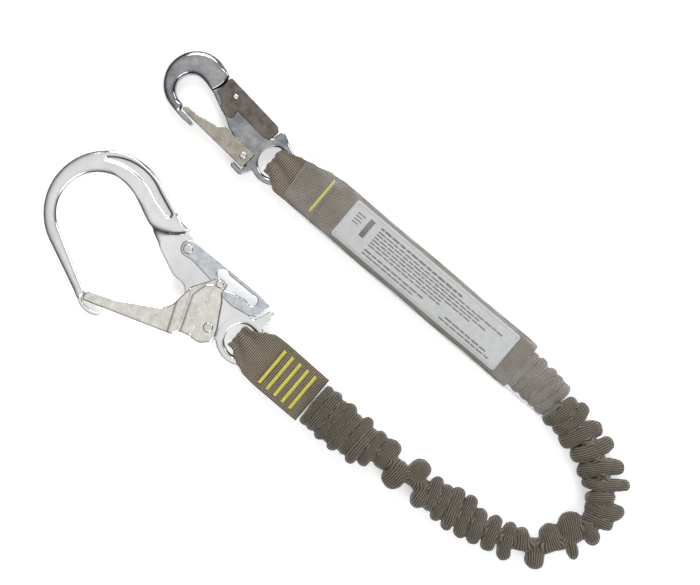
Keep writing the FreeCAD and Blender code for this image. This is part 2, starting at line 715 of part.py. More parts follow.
def absorber_outlet_web():
    """The twisted webbing between pack and leg, as a plain block of its size."""
    body = new_body("absorber_outlet_web")
    start = size("pack_long") + size("soft_gap")
    end = LEG_ROUTE[0][0]
    outline = [(start, -18.0), (start + 4.0, -19.4), (end, -18.4), (end, 14.0), (start + 4.0, 17.6),
               (start, 16.0)]
    sketch = outline_sketch(body, "outlet_plan", outline)
    sketch.setExpression("AttachmentOffset.Base.z", "Sizes.outlet_low")
    pad(body, sketch, "Sizes.outlet_high", "One side")
    place_pack(body)


# ---------------------------------------------------------------- elastic leg

def leg_path(level):
    """The route as straight runs joined by tangent arcs, and each arc's radius."""
    points = [Vector(x, y, level) for x, y in LEG_ROUTE]
    edges = []
    radii = []
    here = points[0]
    for before, corner, after in zip(points, points[1:], points[2:]):
        towards = (corner - before).normalize()
        away = (after - corner).normalize()
        turn = towards.getAngle(away)
        reach = ARC_SHARE * min((corner - before).Length, (after - corner).Length)
        arc_start = corner - towards * reach
        arc_end = corner + away * reach
        radius = reach / math.tan(turn / 2)
        inwards = (away - towards).normalize()
        middle = corner + inwards * (radius / math.cos(turn / 2) - radius)
        edges.append(Part.LineSegment(here, arc_start).toShape())
        edges.append(Part.Arc(arc_start, middle, arc_end).toShape())
        radii.append(radius)
        here = arc_end
    edges.append(Part.LineSegment(here, points[-1]).toShape())
    return Part.Wire(edges), radii


def swept(path, section):
    """A section carried along the leg's path."""
    return path.makePipeShell([section], True, False)


def leg_section(kind, level):
    """A cross-section of the leg at the start of its route: an oval or a rectangle."""
    start = Vector(LEG_ROUTE[0][0], LEG_ROUTE[0][1], level)
    along = (Vector(LEG_ROUTE[1][0], LEG_ROUTE[1][1], level) - start).normalize()
    across = Z_AXIS.cross(along)
    if kind == "oval":
        oval = Part.Ellipse(start + across * size("leg_wide") / 2, start + Z_AXIS * size("leg_high") / 2,
                            start)
        return Part.Wire(oval.toShape())
    grow = 0.0 if kind == "core" else size("soft_gap")
    half_wide = across * (size("core_wide") / 2 + grow)
    half_high = Z_AXIS * (size("core_high") / 2 + grow)
    return Part.makePolygon([start - half_wide - half_high, start + half_wide - half_high,
                             start + half_wide + half_high, start - half_wide + half_high,
                             start - half_wide - half_high])


def elastic_leg():
    """The gathered sheath as a hollow oval tube and the elastic band that runs inside it."""
    level = size("leg_high") / 2
    path, radii = leg_path(level)
    print("leg length", round(path.Length, 1), "arc radii", [round(radius) for radius in radii])
    outer = swept(path, leg_section("oval", level))
    hollow = swept(path, leg_section("hollow", level))
    core = swept(path, leg_section("core", level))
    oval_area = math.pi * size("leg_wide") * size("leg_high") / 4
    print("sheath volume / section x length", round(outer.Volume / (oval_area * path.Length), 4))
    for name, shape in (("leg_sheath", outer.cut(hollow)), ("leg_elastic_core", core)):
        feature = doc.addObject("Part::Feature", name)
        feature.Label = name
        feature.Shape = shape
        feature.Placement = FreeCAD.Placement(Vector(size("pack_x"), size("pack_y"), 0), FreeCAD.Rotation())


# ---------------------------------------------------------------- build everything

scaffold_hook_body()
scaffold_gate()
scaffold_lock_lever()
pin_body("scaffold_gate_rivet", "scaffold", "gate_rivet", "Sizes.scaffold_gate_outside",
         "Sizes.scaffold_rivet_head")
pin_body("scaffold_lever_rivet", "scaffold", "lever_rivet", "Sizes.scaffold_lever_outside",
         "Sizes.scaffold_rivet_head")
pin_body("scaffold_link_pin", "scaffold", "link_pin", "Sizes.scaffold_gate_outside",
         "Sizes.scaffold_link_head")
snap_hook_body()
snap_gate()
snap_lock_lever()
pin_body("snap_gate_rivet", "snap", "gate_rivet", "Sizes.snap_gate_outside",
         "Sizes.snap_gate_rivet_head")
pin_body("snap_lever_rivet", "snap", "lever_rivet", "Sizes.snap_lever_outside",
         "Sizes.snap_lever_rivet_head")
torsion_spring("scaffold_gate_spring", "scaffold", "gate_rivet", -5.9, 3, (58.4, 42.7))
torsion_spring("snap_gate_spring", "snap", "gate_rivet", -5.9, 3, (44.0, 22.0))
torsion_spring("snap_lever_spring", "snap", "lever_rivet", -4.0, 2, (49.4, -16.8))
sewn_ends()
absorber_tear_web()
absorber_cover_web()
absorber_label()
absorber_sleeve()
absorber_outlet_web()
elastic_leg()
doc.recompute()

# ---------------------------------------------------------------- check and write

failed = [item.Name for item in doc.Objects if {"Invalid", "Error"} & set(item.State)]
if failed:
    raise RuntimeError(f"failed objects: {failed}")
sub_parts = [item for item in doc.Objects
             if item.TypeId == "PartDesign::Body" or item.TypeId == "Part::Feature"]
for item in sub_parts:
    if item.Shape.isNull() or not item.Shape.isValid():
        raise RuntimeError(f"bad shape: {item.Label}")
os.makedirs("parts", exist_ok=True)
for item in sub_parts:
    item.Shape.exportStep(f"parts/{item.Label}.step")
    box = item.Shape.BoundBox
    print(f"{item.Label:24s} solids {len(item.Shape.Solids)} volume {item.Shape.Volume / 1000:8.2f} cm3  "
          f"x {box.XMin:7.1f} {box.XMax:7.1f}  y {box.YMin:7.1f} {box.YMax:7.1f}  "
          f"z {box.ZMin:5.1f} {box.ZMax:5.1f}")
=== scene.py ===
"""Visual model of a shock absorbing lanyard that lies flat in a U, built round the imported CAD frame.

Everything is in metres in the row frame. The pack starts at PACK and runs along +X. Plan sizes of the
soft pieces are written in millimetres from the pack's start and turned into metres by plan().
"""
import json
import math
import bpy
import numpy
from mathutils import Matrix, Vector, noise

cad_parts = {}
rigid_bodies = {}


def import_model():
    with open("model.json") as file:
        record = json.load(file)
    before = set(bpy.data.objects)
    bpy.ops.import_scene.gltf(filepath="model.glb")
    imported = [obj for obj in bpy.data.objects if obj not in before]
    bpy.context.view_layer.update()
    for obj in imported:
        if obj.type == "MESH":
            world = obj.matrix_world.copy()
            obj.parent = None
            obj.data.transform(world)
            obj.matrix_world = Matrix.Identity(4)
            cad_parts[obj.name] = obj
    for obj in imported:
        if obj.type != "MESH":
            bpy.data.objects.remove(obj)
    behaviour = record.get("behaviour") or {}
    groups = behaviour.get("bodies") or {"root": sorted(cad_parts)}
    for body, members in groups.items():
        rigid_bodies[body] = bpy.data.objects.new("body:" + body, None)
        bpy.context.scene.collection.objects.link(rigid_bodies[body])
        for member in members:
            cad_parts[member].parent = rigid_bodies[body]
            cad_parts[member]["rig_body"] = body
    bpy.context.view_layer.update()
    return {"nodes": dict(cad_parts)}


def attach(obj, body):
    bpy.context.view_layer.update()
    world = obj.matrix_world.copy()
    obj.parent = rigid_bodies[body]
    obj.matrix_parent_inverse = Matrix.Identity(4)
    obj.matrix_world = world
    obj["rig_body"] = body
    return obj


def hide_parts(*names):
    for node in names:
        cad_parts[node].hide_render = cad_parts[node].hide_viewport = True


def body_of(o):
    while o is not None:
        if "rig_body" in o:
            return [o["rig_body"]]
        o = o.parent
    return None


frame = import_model()

MM = 0.001
PACK = Vector((-0.0312, 0.07735, 0.0))
Z_AXIS = Vector((0, 0, 1))


def plan(x, y, z=0.0):
    """A point given in millimetres from the pack's start, in the row frame."""
    return PACK + Vector((x, y, z)) * MM


# ---------------------------------------------------------------- camera

AIM = Vector((0.0281, 0.03495, 0.0))
ROLL = math.radians(40.3)
HEIGHT = 1.3
PICTURE_WIDTH = 0.553

camera_data = bpy.data.cameras.new("camera")
camera_data.sensor_width = 36.0
camera_data.lens = 36.0 * HEIGHT / PICTURE_WIDTH
camera = bpy.data.objects.new("camera", camera_data)
camera.location = AIM + Vector((0, 0, HEIGHT))
camera.rotation_euler = (0, 0, ROLL)
bpy.context.scene.collection.objects.link(camera)
bpy.context.scene.camera = camera


# ---------------------------------------------------------------- shader helpers

def new_material(name):
    """A material with its Principled shader, and a helper that adds nodes to it."""
    material = bpy.data.materials.new(name)
    material.use_nodes = True
    tree = material.node_tree
    shader = next(node for node in tree.nodes if node.type == "BSDF_PRINCIPLED")

    def add(kind, **values):
        node = tree.nodes.new(kind)
        for key, value in values.items():
            if hasattr(node, key):
                setattr(node, key, value)
            else:
                node.inputs[key.replace("_", " ")].default_value = value
        return node

    return material, tree.links.new, shader, add


def fill_ramp(node, stops):
    """Give a colour ramp node its (place, colour) stops."""
    elements = node.color_ramp.elements
    while len(elements) < len(stops):
        elements.new(0.5)
    for element, (place, colour) in zip(elements, stops):
        element.position = place
        element.color = (*colour, 1.0)


def colour_steps(add, stops):
    """A material's colour ramp with the given stops."""
    node = add("ShaderNodeValToRGB")
    fill_ramp(node, stops)
    return node


# Share of the rib wave in the height, which gives both the bump and the painted rib shade; share of the
# random patch tone.
RIB_SHARE = 0.36
PATCH_SHARE = 0.25


def webbing_material(name, dark, light, pitch, depth):
    """Ribbed webbing: the rib_m attribute counts metres across the ribs, yarns show on each rib. The rib
    valleys are painted darker and the crests lighter, as painted shade and painted light.
    """
    material, link, shader, add = new_material(name)
    rib = add("ShaderNodeAttribute", attribute_name="rib_m")
    turns = add("ShaderNodeMath", operation="MULTIPLY")
    turns.inputs[1].default_value = 2 * math.pi / pitch
    wave = add("ShaderNodeMath", operation="SINE")
    link(rib.outputs["Fac"], turns.inputs[0])
    link(turns.outputs[0], wave.inputs[0])
    place = add("ShaderNodeTexCoord")
    grain = add("ShaderNodeTexNoise", Scale=1500.0, Detail=3.0)
    patch = add("ShaderNodeTexNoise", Scale=60.0, Detail=4.0)
    link(place.outputs["Object"], grain.inputs["Vector"])
    link(place.outputs["Object"], patch.inputs["Vector"])
    height = add("ShaderNodeMath", operation="MULTIPLY_ADD")
    height.inputs[1].default_value = RIB_SHARE
    link(wave.outputs[0], height.inputs[0])
    link(grain.outputs["Fac"], height.inputs[2])
    shade = add("ShaderNodeMath", operation="MULTIPLY_ADD")
    shade.inputs[1].default_value = PATCH_SHARE
    link(patch.outputs["Fac"], shade.inputs[0])
    link(height.outputs[0], shade.inputs[2])
    # Rib height drives the colour: the rib valleys get painted shade and the crests painted light, while the
    # patch noise adds real uneven tone.
    ramp = colour_steps(add, [(0.25, dark), (0.95, light)])
    link(shade.outputs[0], ramp.inputs["Fac"])
    link(ramp.outputs["Color"], shader.inputs["Base Color"])
    bump = add("ShaderNodeBump", Strength=0.9, Distance=depth)
    link(height.outputs[0], bump.inputs["Height"])
    link(bump.outputs["Normal"], shader.inputs["Normal"])
    shader.inputs["Roughness"].default_value = 0.75
    shader.inputs["Sheen Weight"].default_value = 0.35
    shader.inputs["Sheen Roughness"].default_value = 0.4
    return material


def metal_material(name, dark, light, rough_low, rough_high, mottle):
    """Plated steel with a cloudy tone, fine pits and uneven gloss."""
    material, link, shader, add = new_material(name)
    place = add("ShaderNodeTexCoord")
    cloud = add("ShaderNodeTexNoise", Scale=mottle, Detail=6.0, Roughness=0.65)
    link(place.outputs["Object"], cloud.inputs["Vector"])
    ramp = colour_steps(add, [(0.3, dark), (0.7, light)])
    link(cloud.outputs["Fac"], ramp.inputs["Fac"])
    link(ramp.outputs["Color"], shader.inputs["Base Color"])
    gloss = add("ShaderNodeMapRange")
    gloss.inputs["To Min"].default_value = rough_low
    gloss.inputs["To Max"].default_value = rough_high
    link(cloud.outputs["Fac"], gloss.inputs["Value"])
    link(gloss.outputs["Result"], shader.inputs["Roughness"])
    pits = add("ShaderNodeTexNoise", Scale=420.0, Detail=5.0, Roughness=0.7)
    link(place.outputs["Object"], pits.inputs["Vector"])
    bump = add("ShaderNodeBump", Strength=0.22, Distance=0.0002)
    link(pits.outputs["Fac"], bump.inputs["Height"])
    link(bump.outputs["Normal"], shader.inputs["Normal"])
    shader.inputs["Metallic"].default_value = 1.0
    return material


def plain_material(name, dark, light, scale, roughness, bump_depth):
    """A printed film or plastic with a slight grain."""
    material, link, shader, add = new_material(name)
    place = add("ShaderNodeTexCoord")
    grain = add("ShaderNodeTexNoise", Scale=scale, Detail=4.0)
    link(place.outputs["Object"], grain.inputs["Vector"])
    ramp = colour_steps(add, [(0.3, dark), (0.7, light)])
    link(grain.outputs["Fac"], ramp.inputs["Fac"])
    link(ramp.outputs["Color"], shader.inputs["Base Color"])
    bump = add("ShaderNodeBump", Strength=0.4, Distance=bump_depth)
    link(grain.outputs["Fac"], bump.inputs["Height"])
    link(bump.outputs["Normal"], shader.inputs["Normal"])
    shader.inputs["Roughness"].default_value = roughness
    return material


def clear_film_material():
    """Clear, slightly violet plastic that is denser where it is seen edge-on."""
    material, link, shader, add = new_material("clear_film")
    place = add("ShaderNodeTexCoord")
    haze = add("ShaderNodeTexNoise", Scale=45.0, Detail=3.0)
    link(place.outputs["Object"], haze.inputs["Vector"])
    edge = add("ShaderNodeLayerWeight", Blend=0.35)
    cover = add("ShaderNodeMath", operation="MULTIPLY_ADD")
    cover.inputs[1].default_value = 0.38
    thin = add("ShaderNodeMath", operation="MULTIPLY")
    thin.inputs[1].default_value = 0.10
    link(haze.outputs["Fac"], thin.inputs[0])
    link(edge.outputs["Facing"], cover.inputs[0])
    link(thin.outputs[0], cover.inputs[2])
    link(cover.outputs[0], shader.inputs["Alpha"])
    ramp = colour_steps(add, [(0.35, (0.86, 0.84, 0.88)), (0.7, (0.97, 0.96, 0.98))])
    link(haze.outputs["Fac"], ramp.inputs["Fac"])
    link(ramp.outputs["Color"], shader.inputs["Base Color"])
    bump = add("ShaderNodeBump", Strength=0.3, Distance=0.0006)
    link(haze.outputs["Fac"], bump.inputs["Height"])
    link(bump.outputs["Normal"], shader.inputs["Normal"])
    shader.inputs["Roughness"].default_value = 0.22
    shader.inputs["Specular IOR Level"].default_value = 0.6
    shader.inputs["Coat Weight"].default_value = 0.5
    shader.inputs["Coat Roughness"].default_value = 0.12
    return material


# The webbings' darkest colours fall in the rib valleys, as painted shade.
GREY_WEB = webbing_material("grey_webbing", (0.026, 0.020, 0.014), (0.300, 0.252, 0.180), 1.55 * MM, 0.0004)
TAUPE_WEB = webbing_material("taupe_webbing", (0.012, 0.009, 0.007), (0.190, 0.158, 0.115), 1.9 * MM, 0.0005)
YELLOW = plain_material("yellow_thread", (0.50, 0.43, 0.03), (0.80, 0.74, 0.16), 1800.0, 0.6, 0.0002)
LABEL = plain_material("label_film", (0.50, 0.51, 0.50), (0.57, 0.58, 0.57), 260.0, 0.45, 0.0001)
INK = plain_material("label_print", (0.10, 0.10, 0.10), (0.22, 0.22, 0.22), 900.0, 0.6, 0.00005)
RUBBER = plain_material("elastic_rubber", (0.30, 0.30, 0.28), (0.42, 0.42, 0.40), 700.0, 0.8, 0.0002)
CLEAR = clear_film_material()
FORGED = metal_material("forged_steel", (0.70, 0.71, 0.71), (0.88, 0.88, 0.87), 0.12, 0.24, 38.0)
ZINC = metal_material("zinc_sheet", (0.60, 0.57, 0.52), (0.86, 0.84, 0.80), 0.10, 0.22, 190.0)
GALVANISED = metal_material("galvanised_sheet", (0.40, 0.44, 0.49), (0.70, 0.73, 0.76), 0.14, 0.30, 170.0)
# The snap hook's nickel gets a dark base colour: painted dark reflection, standing in for the darker
# surroundings the plating mirrors.
NICKEL_WITH_DARK_REFLECTION = metal_material("nickel_steel", (0.16, 0.17, 0.19), (0.46, 0.46, 0.46), 0.06, 0.14, 75.0)
NICKEL_SHEET = metal_material("nickel_sheet", (0.30, 0.27, 0.22), (0.52, 0.49, 0.42), 0.10, 0.22, 160.0)
# A darker copy of the nickel sheet for the snap lever: painted shade on the same finish as the gate.
SHADED_NICKEL_SHEET = metal_material("nickel_sheet_painted_shade", (0.10, 0.085, 0.072), (0.24, 0.21, 0.18), 0.12, 0.24, 180.0)
RIVET = metal_material("rivet_steel", (0.50, 0.48, 0.45), (0.85, 0.83, 0.80), 0.10, 0.22, 150.0)
SPRING = metal_material("spring_steel", (0.30, 0.30, 0.31), (0.62, 0.62, 0.63), 0.2, 0.3, 200.0)


# ---------------------------------------------------------------- mesh helpers

def new_piece(name, vertices, faces, material, body, rib=None):
    """A smooth mesh piece that rides on a body."""
    mesh = bpy.data.meshes.new(name)
    mesh.from_pydata([tuple(vertex) for vertex in vertices], [], faces)
    mesh.update()
    if rib is not None:
        mesh.attributes.new("rib_m", "FLOAT", "POINT").data.foreach_set("value", rib)
    mesh.polygons.foreach_set("use_smooth", [True] * len(mesh.polygons))
    mesh.materials.append(material)
    piece = bpy.data.objects.new(name, mesh)
    bpy.context.scene.collection.objects.link(piece)
    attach(piece, body)
    return piece


def apply_modifiers(piece):
    """Fix a piece's modifiers into its mesh."""
    graph = bpy.context.evaluated_depsgraph_get()
    mesh = bpy.data.meshes.new_from_object(piece.evaluated_get(graph))
    piece.modifiers.clear()
    piece.data = mesh


def mesh_array(mesh, key):
    """The places ("co") or normals ("normal") of a mesh's vertices as an array."""
    values = numpy.zeros(len(mesh.vertices) * 3)
    mesh.vertices.foreach_get(key, values)
    return values.reshape(-1, 3)


def steps(low, high, count):
    """Evenly spaced values from low to high."""
    return [low + (high - low) * index / (count - 1) for index in range(count)]


def smooth_step(value, low, high):
    """0 below low, 1 above high, and a soft change between."""
    share = min(max((value - low) / (high - low), 0.0), 1.0)
    return share * share * (3 - 2 * share)


def between(table, x):
    """Value at x of a table of (x, value) rows, joined by soft steps."""
    if x <= table[0][0]:
        return table[0][1]
    for (x_low, low), (x_high, high) in zip(table, table[1:]):
        if x <= x_high:
            return low + (high - low) * smooth_step(x, x_low, x_high)
    return table[-1][1]


def grid_faces(rows, columns):
    """Faces of a sheet whose points are stored row by row."""
    return [(row * columns + column, row * columns + column + 1,
             (row + 1) * columns + column + 1, (row + 1) * columns + column)
            for row in range(rows - 1) for column in range(columns - 1)]


def ring_faces(rings, sides, start=0):
    """Faces of a tube whose points are stored ring by ring from start."""
    return [(start + ring * sides + turn, start + ring * sides + (turn + 1) % sides,
             start + (ring + 1) * sides + (turn + 1) % sides, start + (ring + 1) * sides + turn)
            for ring in range(rings - 1) for turn in range(sides)]


def end_faces(rings, sides, start=0):
    """The two faces that close such a tube."""
    last = start + (rings - 1) * sides
    return [tuple(reversed(range(start, start + sides))), tuple(range(last, last + sides))]


def strip(name, line, edges, lift, thick, material, body, across=36):
    """Webbing along line, a list of (x, z) in millimetres; edges(x) gives its two sides' y.

    lift(x, share, z) moves a point outward, where share runs from -1 to 1 over the width.
    """
    vertices = []
    ribs = []
    walked = 0.0
    for index, (x, z) in enumerate(line):
        before = line[max(index - 1, 0)]
        after = line[min(index + 1, len(line) - 1)]
        walked += math.dist(before, (x, z)) if index else 0.0
        along = Vector((after[0] - before[0], 0, after[1] - before[1])).normalized()
        outward = Vector((-along.z, 0, along.x))
        low, high = edges(x)
        for share in steps(-1.0, 1.0, across):
            y = low + (high - low) * (share + 1) / 2
            vertices.append(plan(x, y, z) + outward * lift(x, share, z) * MM)
            ribs.append(walked * MM)
    faces = grid_faces(len(line), across)
    piece = new_piece(name, vertices, faces, material, body, ribs)
    solid = piece.modifiers.new("thickness", "SOLIDIFY")
    solid.thickness = thick * MM
    solid.offset = 0.0
    solid.use_rim = True
    apply_modifiers(piece)
    return piece


def arc_points(centre, radius, first, last, count):
    """Points (x, z) on an arc, angles in degrees."""
    return [(centre[0] + radius * math.cos(math.radians(angle)),
             centre[1] + radius * math.sin(math.radians(angle)))
            for angle in steps(first, last, count)]


# ---------------------------------------------------------------- gathered leg (the cord comes first)

LEG_ROUTE = [
    (239, -6), (258, -6), (282, -12), (301, -22), (314, -39), (319, -60), (314, -81),
    (301, -98), (282, -109), (256, -116), (226, -120), (194, -122), (160, -123), (126, -126),
    (92, -126),
]
LEG_LEVEL = 14.0
LEG_CORE = (0.0062, 0.0115)
LEG_HALF_HIGH = 0.0132
SKIN_VOXEL = 0.0009
WRINKLES = [(160.0, 0.0007), (60.0, 0.0008)]

# Each fold of the gathered sheath stands on edge: its two ends, its thickness and its bow.
FOLDS = [
    ((241.0, -22.5), (249.0, 8.0), 11.0, 1.0),
    ((252.5, -22.5), (259.0, 10.5), 11.0, 2.0),
    ((259.5, -26.0), (276.5, 6.0), 14.0, -1.0),
    ((274.0, -29.5), (292.0, 1.5), 11.5, 1.0),
    ((283.5, -33.5), (310.0, -7.0), 12.0, -1.5),
    ((293.5, -39.0), (324.0, -16.5), 9.0, 1.0),
    ((302.5, -46.0), (321.0, -30.5), 9.0, 0.0),
    ((307.0, -51.0), (335.0, -37.0), 13.0, 1.5),
    ((310.0, -57.0), (334.0, -49.0), 10.0, 0.0),
    ((311.0, -62.0), (333.0, -66.5), 12.0, -1.0),
    ((300.5, -62.5), (319.5, -79.0), 20.0, 0.0),
    ((314.0, -77.5), (327.0, -88.0), 8.0, 0.0),
    ((293.0, -81.0), (311.5, -93.0), 16.0, 1.0),
    ((299.0, -101.0), (308.0, -114.5), 14.0, 0.0),
    ((281.0, -95.5), (291.0, -109.0), 11.0, 0.0),
    ((271.5, -97.5), (284.0, -125.5), 10.0, 1.0),
    ((260.0, -100.0), (269.5, -128.5), 10.0, 1.0),
    ((247.5, -104.0), (258.0, -131.0), 10.5, 0.5),
    ((235.0, -101.0), (246.0, -134.0), 10.0, 1.5),
    ((224.0, -103.0), (235.0, -136.5), 9.5, 0.5),
    ((216.0, -107.0), (224.0, -136.5), 9.0, 0.0),
    ((205.5, -107.0), (215.0, -134.0), 9.5, 1.0),
    ((203.0, -118.0), (205.0, -138.0), 12.0, 0.0),
    ((190.0, -104.0), (191.0, -126.0), 16.0, 0.5),
    ((180.0, -116.0), (178.0, -139.5), 17.0, -0.5),
    ((161.5, -107.0), (163.0, -133.0), 16.0, 1.0),
    ((150.0, -108.0), (152.0, -140.0), 9.0, 1.0),
    ((143.0, -111.0), (142.5, -145.0), 8.0, 1.0),
    ((136.0, -106.5), (134.0, -143.0), 9.5, 0.5),
    ((127.5, -110.0), (126.0, -146.5), 8.5, 0.0),
    ((119.5, -106.5), (119.5, -144.0), 10.0, -0.5),
    ((112.0, -109.5), (112.5, -146.5), 8.5, 0.0),
    ((104.0, -107.0), (103.5, -145.0), 9.0, 0.5),
    ((96.5, -108.0), (96.5, -145.5), 7.5, 0.0),
]


def cord_line(points, level):
    """The NURBS line whose control points are the route's, and points read from it."""
    data = bpy.data.curves.new("leg_line", "CURVE")
    data.dimensions = "3D"
    data.resolution_u = 24
    spline = data.splines.new("NURBS")
    spline.points.add(len(points) - 1)
    for point, (x, y) in zip(spline.points, points):
        point.co = (*plan(x, y, level), 1.0)
    spline.order_u = 3
    spline.use_endpoint_u = True
    line = bpy.data.objects.new("leg_line", data)
    bpy.context.scene.collection.objects.link(line)
    bpy.context.view_layer.update()
    mesh = bpy.data.meshes.new_from_object(line)
    path = [vertex.co.copy() for vertex in mesh.vertices]
    bpy.data.objects.remove(line)
    return path


def tube(path, radii, sides=20):
    """Vertices and faces of a closed tube of (half width, half height) along a flat path."""
    vertices = []
    for index, point in enumerate(path):
        along = (path[min(index + 1, len(path) - 1)] - path[max(index - 1, 0)]).normalized()
        side = Z_AXIS.cross(along)
        for turn in range(sides):
            angle = 2 * math.pi * turn / sides
            vertices.append(point + side * radii[0] * math.cos(angle) + Z_AXIS * radii[1] * math.sin(angle))
    return vertices, ring_faces(len(path), sides) + end_faces(len(path), sides)


def fold_frame(fold):
    """A fold's middle, half length, half thickness, bow and its two plan directions."""
    (x_low, y_low), (x_high, y_high), thick, bow = fold
    first = plan(x_low, y_low)
    last = plan(x_high, y_high)
    along = (last - first).normalized()
    return (first + last) / 2, (last - first).length / 2, thick / 2 * MM, bow * MM, along, Z_AXIS.cross(along)


def fold_shape(fold, level, half_high, rings=26, sides=48):
    """A rounded, bowed disc on edge: vertices and faces."""
    middle, half_long, half_thick, bow, along, across = fold_frame(fold)
    vertices = []
    rows = steps(-1.0, 1.0, rings)
    for row in rows:
        angle = row * math.pi / 2
        shrink = math.cos(angle) ** 0.8 if abs(row) < 1 else 0.02
        inset_long = half_long - half_thick * (1 - shrink)
        inset_high = half_high - half_thick * (1 - shrink)
        if abs(row) >= 1:
            inset_long = max(half_long - half_thick * 1.6, half_long * 0.15)
            inset_high = max(half_high - half_thick * 1.6, half_high * 0.15)
        for turn in range(sides):
            around = 2 * math.pi * turn / sides
            cosine = math.cos(around)
            sine = math.sin(around)
            reach = math.copysign(abs(cosine) ** 0.8, cosine)
            rise = math.copysign(abs(sine) ** 0.8, sine)
            bend = bow * (reach * reach - 0.4)
            offset = half_thick * math.sin(angle) + bend
            vertices.append(middle + along * inset_long * reach + across * offset
                            + Z_AXIS * (level * MM + inset_high * rise))
    return vertices, ring_faces(rings, sides) + end_faces(rings, sides)


def rib_phase(points, folds, level, half_high):
    """For each point, the distance in metres over the webbing from the crest of the fold it lies on."""
    nearest = numpy.full(len(points), 1e9)
    phase = numpy.zeros(len(points))
    for fold in folds:
        middle, half_long, half_thick, bow, along, across = fold_frame(fold)
        away = points - numpy.array(middle)
        reach = numpy.abs(away @ numpy.array(along)) / half_long
        rise = numpy.abs(points[:, 2] - level * MM) / half_high
        inside = (1 - (reach ** 2.5 + rise ** 2.5) ** 0.4) * min(half_long, half_high)
        offset = away @ numpy.array(across) - bow * (numpy.minimum(reach, 1.0) ** 2 - 0.4)
        spare = numpy.minimum(inside, half_thick - numpy.abs(offset))
        rim = half_thick * numpy.arctan2(offset, numpy.maximum(half_thick - inside, 1e-5))
        flank = numpy.copysign(half_thick * math.pi / 2 + inside - half_thick, offset)
        walked = numpy.where(inside < half_thick, rim, flank)
        better = -spare < nearest
        nearest = numpy.where(better, -spare, nearest)
        phase = numpy.where(better, walked, phase)
    return phase


def gathered(name, folds, core, level, half_high, body, material):
    """Folds and core joined into one puffy surface with creases between the folds."""
    vertices, faces = core
    vertices = list(vertices)
    faces = list(faces)
    for number, fold in enumerate(folds):
        high = half_high * (0.93 + 0.07 * math.sin(number * 2.4))
        more, more_faces = fold_shape(fold, level, high)
        start = len(vertices)
        vertices += more
        faces += [tuple(index + start for index in face) for face in more_faces]
    piece = new_piece(name, vertices, faces, material, body)
    remesh = piece.modifiers.new("skin", "REMESH")
    remesh.mode = "VOXEL"
    remesh.voxel_size = SKIN_VOXEL
    remesh.use_smooth_shade = True
    soften = piece.modifiers.new("soften", "SMOOTH")
    soften.factor = 0.5
    soften.iterations = 3
    apply_modifiers(piece)
    mesh = piece.data
    points = mesh_array(mesh, "co")
    wrinkles = [sum(noise.noise(Vector(point) * scale) * depth for scale, depth in WRINKLES)
                for point in points]
    points += mesh_array(mesh, "normal") * numpy.array(wrinkles)[:, None]
    mesh.vertices.foreach_set("co", points.ravel())
    mesh.update()
    ribs = rib_phase(points, folds, level, half_high)
    mesh.attributes.new("rib_m", "FLOAT", "POINT").data.foreach_set("value", ribs)
    return piece


leg_path = cord_line(LEG_ROUTE, LEG_LEVEL)
leg = gathered("leg_gathers", FOLDS, tube(leg_path, LEG_CORE), LEG_LEVEL, LEG_HALF_HIGH, "absorber",
               TAUPE_WEB)
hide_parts("leg_sheath")


# ---------------------------------------------------------------- webbing loops

def loop_line(x_end, x_bend, high, low, bar_radius):
    """Side view of a doubled web: along the top, round the ring's bar and back underneath."""
    middle = (high + low) / 2
    line = [(x, high - (high - middle - bar_radius) * smooth_step(-x, -(x_bend + 24), -(x_bend + 2)))
            for x in steps(x_end, x_bend, 60)]
    line += arc_points((x_bend, middle), bar_radius, 90, 270, 16)[1:-1]
    line += [(x, low + (middle - bar_radius - low) * smooth_step(-x, -(x_bend + 24), -(x_bend + 2)))
             for x in steps(x_bend, x_end, 60)]
    return line


def snap_loop():
    """The absorber's own end, doubled round the snap hook's eye."""
    upper = [(-48.5, 9.0), (-44.0, 11.0), (-36.0, 13.5), (-25.0, 16.0), (-10.0, 19.5), (0.0, 20.3)]
    lower = [(-48.5, -13.5), (-44.0, -16.5), (-37.0, -20.5), (-20.0, -20.3), (0.0, -20.0)]

    def lift(x, share, z):
        pinch = 1 - smooth_step(x, -46.0, -18.0)
        side = 1 if z > 9.4 else -1
        return side * (pinch * 0.9 * math.cos(share * 7.0 + x * 0.12) - 0.8 * share * share)

    line = loop_line(-0.5, -48.0, 16.6, 3.4, 5.4)
    piece = strip("snap_end_loop", line, lambda x: (between(lower, x), between(upper, x)), lift, 2.0,
                  GREY_WEB, "absorber")
    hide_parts("absorber_end_loop")


def leg_loop():
    """The leg's sewn end, doubled round the scaffold hook's eye and stitched flat."""
    upper = [(19.0, -116.0), (23.0, -113.5), (30.0, -109.0), (38.0, -105.2), (46.0, -104.8), (92.0, -105.6)]
    lower = [(19.0, -135.5), (23.0, -139.0), (30.0, -142.5), (38.0, -145.5), (46.0, -146.4), (92.0, -146.4)]

    def lift(x, share, z):
        pinch = 1 - smooth_step(x, 20.0, 48.0)
        side = 1 if z > 9.4 else -1
        return side * (pinch * 1.0 * math.cos(share * 6.0 + x * 0.15) - 0.5 * share ** 4)

    line = loop_line(91.5, 20.0, 13.6, 5.2, 5.4)
    sagged = [(x, z - (2.6 if z > 9.4 else -2.6) * math.exp(-((x - 44.0) / 7.0) ** 2)) for x, z in line]
    piece = strip("leg_end_loop_web", sagged, lambda x: (between(lower, x), between(upper, x)), lift, 2.4,
                  GREY_WEB, "absorber")
    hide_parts("leg_end_loop")


snap_loop()
leg_loop()


# ---------------------------------------------------------------- bar tacks

